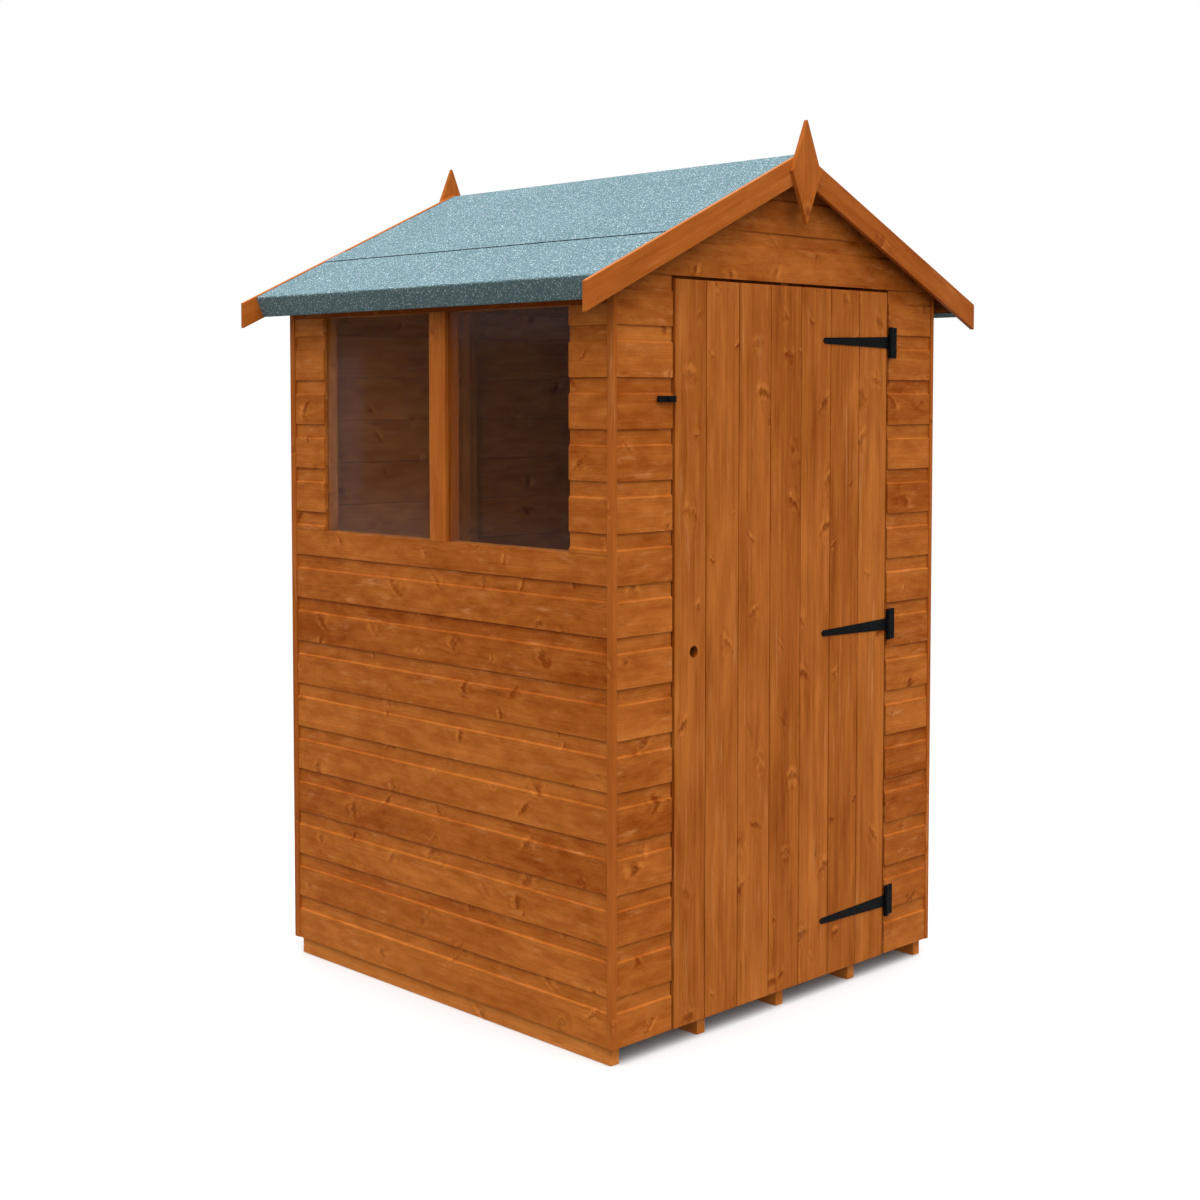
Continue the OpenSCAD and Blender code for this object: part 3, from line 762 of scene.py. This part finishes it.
def bar(outline, place, reach):
    """A board of one outline. place is its origin and its along, side and up directions.

    reach gives where the board starts and ends at a point of its outline.
    """
    origin, along, side, up = place
    drawn = inset(outline, END_ARRIS)
    rings = []
    sections = ((drawn, 0, 0), (outline, 0, END_ARRIS), (outline, 1, -END_ARRIS), (drawn, 1, 0))
    for shape, end, trim in sections:
        stops = [reach(point)[end] + trim for point in outline]
        rings.append([origin + side * p.x + up * p.y + along * at for p, at in zip(shape, stops)])
    return loft(rings)


# Walls of shiplap
strip_low, strip_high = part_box("front_wall_left_strip")
WALL_Z = strip_low.z
COVER = (strip_high.z - strip_low.z) / WALL_COURSES
FACE_H = COVER - SCOOP_H


def course_outline():
    """One shiplap board, as depth from its face against height from its lower edge."""
    shoulder = LIP_T + JOINT_PLAY
    rebate = TONGUE_H + JOINT_PLAY
    return rounded([
        (0, 0, FACE_ARRIS / 2),
        (0, FACE_H, FACE_ARRIS / 4),
        (SCOOP_D, FACE_H + SCOOP_RISE, SCOOP_EASE),
        (SCOOP_D, COVER, 0),
        (shoulder, COVER, 0),
        (shoulder, COVER + TONGUE_H, 0),
        (BOARD_T, COVER + TONGUE_H, INNER_VEE),
        (BOARD_T, rebate, INNER_VEE),
        (LIP_T, rebate, 0),
        (LIP_T, 0, 0),
    ])


COURSE = course_outline()

# Underside of the roof over the gables: its peak, and where it meets the ends of the cladding
gable_points = [vert.co for vert in frame["nodes"]["front_gable_cladding"].data.vertices]
GABLE_HALF = max(point.x for point in gable_points)
PEAK_Z = max(point.z for point in gable_points)
EAVE_Z = max(point.z for point in gable_points if point.x > GABLE_HALF - WELD)
RISE = (PEAK_Z - EAVE_Z) / GABLE_HALF
PITCH = math.atan(RISE)


def shiplap(node, inward, wall, under_roof=False):
    """The boards of one cladding panel. Panels of the same wall share their boards' grain."""
    low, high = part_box(node)
    along = Y if inward.x else X
    near = low if sum(inward) > 0 else high
    pile = Pile()
    first = math.floor((low.z - WALL_Z) / COVER + WELD)
    last = math.ceil((high.z - WALL_Z) / COVER - WELD)
    for course in range(first, last):
        base_z = WALL_Z + course * COVER
        outline = COURSE
        if base_z < low.z - WELD:
            outline = clipped(outline, low.z - base_z, 1)
        if base_z + COVER + TONGUE_H > high.z:
            outline = clipped(outline, high.z - base_z - END_ARRIS * 2, -1)
        if under_roof:
            outline = with_level(outline, EAVE_Z - base_z)
        origin = Vector((near.x if inward.x else 0, near.y if inward.y else 0, base_z))
        ends = (low.dot(along), high.dot(along))

        def reach(point):
            if not under_roof:
                return ends
            half = min(GABLE_HALF, (PEAK_Z - base_z - point.y) / RISE)
            return -half, half

        board = bar(outline, (origin, along, inward, Z), reach)
        pile.add(*board, along, inward, f"{wall} course {course}", origin)
        # Painted shadow under the eave on the cladding over the window
        pile.paint_light_and_shade(len(board[0]), EAVE_PAINTED_SHADOWS.get(node, 0))
        # Painted light on the inner side of each board
        paler = INNER_PAINTED_LIGHTS.get(wall, INNER_PAINTED_LIGHT)
        pile.paint_light_and_shade(len(board[0]), paler, lambda point: (point - origin).dot(inward) > BOARD_T - WELD)
    stand_for(pile, node)


for panel in ("below_window", "front_strip", "back_strip", "over_window"):
    shiplap("left_wall_" + panel, X, "left wall")
shiplap("right_wall_cladding", -X, "right wall")
shiplap("back_wall_cladding", -Y, "back wall", under_roof=True)
shiplap("front_wall_left_strip", Y, "front left")
shiplap("front_wall_right_strip", Y, "front right")
shiplap("front_gable_cladding", Y, "front gable", under_roof=True)


# Frame, trims and window
def bargeboard(node):
    """A planed board along the edge of the roof, paler along its upper edge as a painted highlight."""
    points, faces = solids(node)[0]
    along, face = lie_of(points, faces)
    board = softened(points, faces, TRIM_ARRIS)

    def level(point):
        return point.z + RISE * abs(point.x)

    top = max(level(point) for point in points)
    pile = Pile()
    pile.add(*board, along, face, f"{node} 0")
    # Painted highlight along the upper edge, which faces up
    pile.paint_light_and_shade(len(board[0]), UPPER_EDGE_PAINTED_HIGHLIGHT, lambda point: level(point) > top - TRIM_ARRIS / 2)
    stand_for(pile, node)


for wall in ("left_wall", "right_wall", "back_wall", "front_wall"):
    eased(wall + "_studs", TIMBER_ARRIS)
    eased(wall + "_rails", TIMBER_ARRIS)
for node in ("front_gable_rafters", "back_gable_rafters", "left_roof_battens", "right_roof_battens"):
    eased(node, TIMBER_ARRIS)
eased("floor_bearers", TIMBER_ARRIS)
eased("corner_trims", TRIM_ARRIS)
eased("window_panes", END_ARRIS)
for side in ("front", "back"):
    bargeboard(f"{side}_left_bargeboard")
    bargeboard(f"{side}_right_bargeboard")
    eased(f"{side}_finial", TRIM_ARRIS, Z)


def window_mullion():
    """A planed facing in front of the glass, and the post behind it, darkened with painted shade."""
    node = "window_mullion"
    low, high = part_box(node)
    glass_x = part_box("window_panes")[0].x
    pile = Pile()
    for name, start, end in (("facing", low.x, glass_x), ("post", glass_x, high.x)):
        plan = ((start, low.y), (end, low.y), (end, high.y), (start, high.y))
        rings = [[Vector((x, y, z)) for x, y in plan] for z in (low.z, high.z)]
        pile.add(*softened(*loft(rings), TRIM_ARRIS), Z, -X, f"mullion {name}")
    # Painted shade on the post behind the glass
    pile.paint_light_and_shade(len(pile.points), POST_PAINTED_SHADE, lambda point: point.x > glass_x + TRIM_ARRIS / 2)
    stand_for(pile, node)


window_mullion()


# Floor
def floor_boards():
    """Boards across the bearers, with eased edges at their joints."""
    node = "floor_boards"
    low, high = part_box(node)
    width = (high.y - low.y) / FLOOR_BOARDS
    thick = high.z - low.z
    outline = rounded([
        (JOINT_PLAY, 0, 0),
        (width - JOINT_PLAY, 0, 0),
        (width - JOINT_PLAY, thick, FACE_ARRIS),
        (JOINT_PLAY, thick, FACE_ARRIS),
    ])
    pile = Pile()
    for number in range(FLOOR_BOARDS):
        origin = Vector((0, low.y + number * width, low.z))
        board = bar(outline, (origin, X, Y, Z), lambda point: (low.x, high.x))
        pile.add(*board, X, Z, f"floor {number}")
    stand_for(pile, node)


floor_boards()


# Roof
def roof_boards(node, side):
    """Boards along one slope, from the ridge to the eave. side is -1 for left and 1 for right."""
    low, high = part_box(node)
    slope = (high.x - low.x) / math.cos(PITCH)
    thick = (high.z - slope * math.sin(PITCH) - low.z) / math.cos(PITCH)
    down = Vector((side * math.cos(PITCH), 0, -math.sin(PITCH)))
    out = Vector((side * math.sin(PITCH), 0, math.cos(PITCH)))
    width = slope / ROOF_BOARDS
    ridge = Vector((0, 0, high.z))
    pile = Pile()
    for number in range(ROOF_BOARDS):
        start = number * width + (JOINT_PLAY if number else 0)
        end = (number + 1) * width - JOINT_PLAY
        plumb = 0 if number else thick * RISE
        outline = rounded([
            (start, 0, 0),
            (end, 0, 0),
            (end, -thick, FACE_ARRIS),
            (start + plumb, -thick, FACE_ARRIS),
        ])
        board = bar(outline, (ridge, Y, down, out), lambda point: (low.y, high.y))
        pile.add(*board, Y, out, f"{node} {number}")
    stand_for(pile, node)


def felt_sheet(node):
    """A strip of felt along the roof, with round folds, that lies a little unevenly."""
    points, faces = solids(node)[0]
    low, high = corners_of(points)
    cap = next(face for face in faces if all(points[i].y < low.y + WELD for i in face))
    section = [Vector((points[i].x, points[i].z)) for i in cap]
    corners = []
    cuts = []
    for i, here in enumerate(section):
        before = (here - section[i - 1]).length
        after = (section[(i + 1) % len(section)] - here).length
        fold = min(FELT_FOLD, FELT_FOLD_SHARE * before, FELT_FOLD_SHARE * after)
        corners.append((here.x, here.y, fold))
        if before < FELT_EDGE_MAX:
            cuts.append((here + section[i - 1]) / 2)

    def is_cut(point):
        return any((point - cut).length < FELT_CUT for cut in cuts)

    outline = divided(rounded(corners), FELT_STEP)
    count = math.ceil((high.y - low.y) / FELT_STEP)
    rings = []
    for number in range(count + 1):
        y = low.y + (high.y - low.y) * number / count
        ring = []
        for point in outline:
            place = Vector((point.x, y, point.y)) / FELT_WAVE_SIZE
            lift = FELT_WAVE * (0.5 + 0.5 * noise.noise(place))
            ring.append(Vector((point.x, y, point.y + lift)))
        rings.append(ring)
    pile = Pile()
    pile.add(*loft(rings), Y, Z, node)
    pile.tone = [1 if is_cut(point) else 0 for point in outline] * len(rings)
    stand_for(pile, node)


roof_boards("left_roof_boards", -1)
roof_boards("right_roof_boards", 1)
for node in ("left_roof_felt", "right_roof_felt", "ridge_felt"):
    felt_sheet(node)


# Door
def holed_plate(outline, hole, place, thick, vee):
    """A flat board through its thickness, with its edges cut back for a vee joint on both sides.

    The outline is a box with a point on each long side at the height of the hole, or a plain box
    where there is no hole. place is the origin on the back and the side, up and out directions.
    The points of the wall of the hole come last.
    """
    origin, side, up, out = place
    lip = inset(outline, DOOR_JOINT)
    drawn = inset(outline, DOOR_JOINT + vee)
    deep = thick - DOOR_JOINT_DEEP
    back = inset(outline, DOOR_BACK_VEE)
    levels = (
        (back, 0),
        (outline, DOOR_BACK_VEE),
        (outline, deep),
        (lip, deep),
        (lip, thick - vee),
        (drawn, thick),
    )
    rings = [[origin + side * p.x + up * p.y + out * at for p in shape] for shape, at in levels]
    if hole is None:
        return loft(rings)
    count = len(outline)
    points = [point for ring in rings for point in ring]
    faces = ring_faces(len(rings), count)
    start = len(points)
    centre, radius = hole
    spokes = [Vector((math.cos(turn), math.sin(turn))) for turn in around(LOCK_HOLE_STEPS)]
    circle = [centre + spoke * radius for spoke in spokes]
    rims = [origin + side * p.x + up * p.y + out * at for at in (0, thick) for p in circle]
    points += rims + rims
    wall = start + len(rims)
    faces += [[wall + i for i in face] for face in ring_faces(2, LOCK_HOLE_STEPS)]
    half = LOCK_HOLE_STEPS // 2
    for edge, rim in ((0, start), (len(rings) * count - count, start + LOCK_HOLE_STEPS)):
        lower = [rim] + [rim + i for i in range(LOCK_HOLE_STEPS - 1, half - 1, -1)]
        upper = [rim + i for i in range(half, -1, -1)]
        faces.append([edge + i for i in (5, 0, 1, 2)] + lower)
        faces.append([edge + i for i in (2, 3, 4, 5)] + upper)
    return points, faces


def door_boards():
    """Upright boards with vee joints, and the lock hole through the last one."""
    node = "door_boards"
    low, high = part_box(node)
    lock = next(mount for mount in RECORD["mounts"] if mount["name"] == "lock_hole")
    lock_at = Vector((lock["pos_m"][0], lock["pos_m"][2]))
    lock_r = lock["dims"]["r_mm"] / 1000
    edges = [high.x]
    while edges[-1] - DOOR_BOARD_W > low.x:
        edges.append(edges[-1] - DOOR_BOARD_W)
    edges.append(low.x)
    place = (Vector((0, high.y, 0)), X, Z, -Y)
    pile = Pile()
    for number, (right, left) in enumerate(zip(edges, edges[1:])):
        here = left < lock_at.x - lock_r and lock_at.x + lock_r < right
        level = lock_at.y if here else (low.z + high.z) / 2
        outline = [Vector(corner) for corner in (
            (left, low.z), (right, low.z), (right, level), (right, high.z), (left, high.z), (left, level),
        )]
        hole = (lock_at, lock_r) if here else None
        board = holed_plate(outline, hole, place, high.y - low.y, DOOR_VEE)
        pile.add(*board, Z, -Y, f"plank {number}")
        # Painted shade on the sides of the vee joints between the boards
        pile.paint_light_and_shade(len(board[0]), DOOR_JOINT_PAINTED_SHADE, lambda point: low.y + WELD < point.y < high.y - WELD)
        if here:
            wall = 2 * LOCK_HOLE_STEPS
            pile.tone[-wall:] = [HOLE_TONE] * wall
    stand_for(pile, node)


door_boards()
eased("door_ledges", TIMBER_ARRIS)
eased("door_braces", TIMBER_ARRIS)


# Ironwork
def screw_head(centre):
    """A domed screw head with a recess, on a face that looks towards -Y."""
    rings = []
    for wide, high in SCREW_PROFILE:
        radius = SCREW_R * wide
        out = SCREW_DOME * high
        ring = [(radius * math.cos(turn), -out, radius * math.sin(turn)) for turn in around(SCREW_STEPS)]
        rings.append([centre + Vector(offset) for offset in ring])
    return loft(rings)


PLATE_SCREWS = (-0.029, 0, 0.029)
PLATE_SCREW_IN = 0.009
STRAP_SCREWS = (0.038, 0.12, 0.205)


def hinge_screws():
    """Screws through each hinge plate into the wall and through each strap into the door."""
    plate_pile = Pile()
    for low, high in (corners_of(points) for points, _ in solids("hinge_plates")):
        for rise in PLATE_SCREWS:
            at = Vector((high.x - PLATE_SCREW_IN, high.y - IRON_T, (low.z + high.z) / 2 + rise))
            plate_pile.add(*screw_head(at), Z, -Y, "plate screw")
    publish(plate_pile, "hinge_plate_screws", "ironwork", BODY_OF["hinge_plates"])
    strap_pile = Pile()
    face_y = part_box("door_boards")[0].y - IRON_T
    for low, high in (corners_of(points) for points, _ in solids("hinge_straps")):
        for run in STRAP_SCREWS:
            at = Vector((high.x - run, face_y, (low.z + high.z) / 2))
            strap_pile.add(*screw_head(at), Z, -Y, "strap screw")
    publish(strap_pile, "hinge_strap_screws", "ironwork", BODY_OF["hinge_straps"])


for node in ("hinge_plates", "hinge_straps", "turn_button", "turn_button_screw"):
    eased(node, IRON_ARRIS)
hinge_screws()

# Studio
WHITE = (1, 1, 1, 1)
FLOOR_PALE = colour(222, 222, 222)
FLOOR_BOUNCE = colour(124, 124, 124)
FLOOR_R = 14.0
FLOOR_STEPS = 96
FADE_START = 1.0
FADE_END = 2.8
FLOOR_DROP = 0.0003
WORLD_LIGHT = 0.45
KEY_FROM = Vector((-0.45, -0.65, 0.61))
KEY_LIGHT = 1.95
KEY_SPREAD = math.radians(70)
TOP_FROM = Vector((-0.15, -0.1, 1))
TOP_LIGHT = 3.4
TOP_SPREAD = math.radians(80)
FILL_FROM = Vector((0.62, 0.45, 0.64))
FILL_LIGHT = 0.9
FILL_SPREAD = math.radians(80)


def seen_directly(g):
    """1 for rays that show the background: straight from the camera, off gloss or through glass."""
    path = g.node("LightPath", {}, None)
    rays = (path["Is Glossy Ray"], path["Is Transmission Ray"])
    seen = path["Is Camera Ray"]
    for ray in rays:
        seen = g.math("MAXIMUM", seen, ray)
    return seen


def studio_world():
    """Even light from all sides, and white where the background shows."""
    world = bpy.data.worlds.new("studio")
    bpy.context.scene.world = world
    world.use_nodes = True
    g = Graph(world.node_tree)
    strength = g.math("MULTIPLY_ADD", seen_directly(g), 1 - WORLD_LIGHT, WORLD_LIGHT)
    g.node("OutputWorld", {"Surface": g.node("Background", {"Color": WHITE, "Strength": strength})}, None)


def studio_floor():
    """A pale disc that keeps the shadow near the shed and fades to white further out."""
    material, g = new_graph("floor")
    where = g.node("TexCoord", {}, "Object")
    far = g.band(g.length(where), FADE_START, FADE_END)
    seen = seen_directly(g)
    pale = g.node("BsdfDiffuse", {"Color": g.blend(seen, FLOOR_BOUNCE, FLOOR_PALE)})
    glow = g.node("Emission", {"Color": WHITE, "Strength": 1.0})
    g.surface(g.node("MixShader", {0: g.math("MULTIPLY", far, seen), 1: pale, 2: glow}))
    mesh = bpy.data.meshes.new("floor")
    turns = around(FLOOR_STEPS)
    rim = [(FLOOR_R * math.cos(turn), FLOOR_R * math.sin(turn), -FLOOR_DROP) for turn in turns]
    mesh.from_pydata(rim, [], [list(range(FLOOR_STEPS))])
    mesh.materials.append(material)
    floor = bpy.data.objects.new("floor", mesh)
    bpy.context.scene.collection.objects.link(floor)


def soft_sun(name, source, strength, spread):
    """Even light from a wide patch of sky."""
    light = bpy.data.lights.new(name, "SUN")
    light.energy = strength
    light.angle = spread
    lamp = bpy.data.objects.new(name, light)
    lamp.rotation_euler = (-source).to_track_quat("-Z", "Y").to_euler()
    bpy.context.scene.collection.objects.link(lamp)


def photo_camera():
    """The photo's view: a little downwards and without roll, with the lens shifted."""
    lens = bpy.data.cameras.new("camera")
    lens.lens = LENS_MM
    lens.shift_y = SHIFT_Y
    camera = bpy.data.objects.new("camera", lens)
    level = math.cos(CAMERA_DOWN)
    look = Vector((math.sin(CAMERA_YAW) * level, math.cos(CAMERA_YAW) * level, -math.sin(CAMERA_DOWN)))
    camera.location = CAMERA_AT
    camera.rotation_euler = look.to_track_quat("-Z", "Y").to_euler()
    bpy.context.scene.collection.objects.link(camera)
    bpy.context.scene.camera = camera


studio_world()
studio_floor()
soft_sun("key_light", KEY_FROM, KEY_LIGHT, KEY_SPREAD)
soft_sun("top_light", TOP_FROM, TOP_LIGHT, TOP_SPREAD)
soft_sun("fill_light", FILL_FROM, FILL_LIGHT, FILL_SPREAD)
photo_camera()
bpy.context.scene.view_settings.view_transform = "Standard"
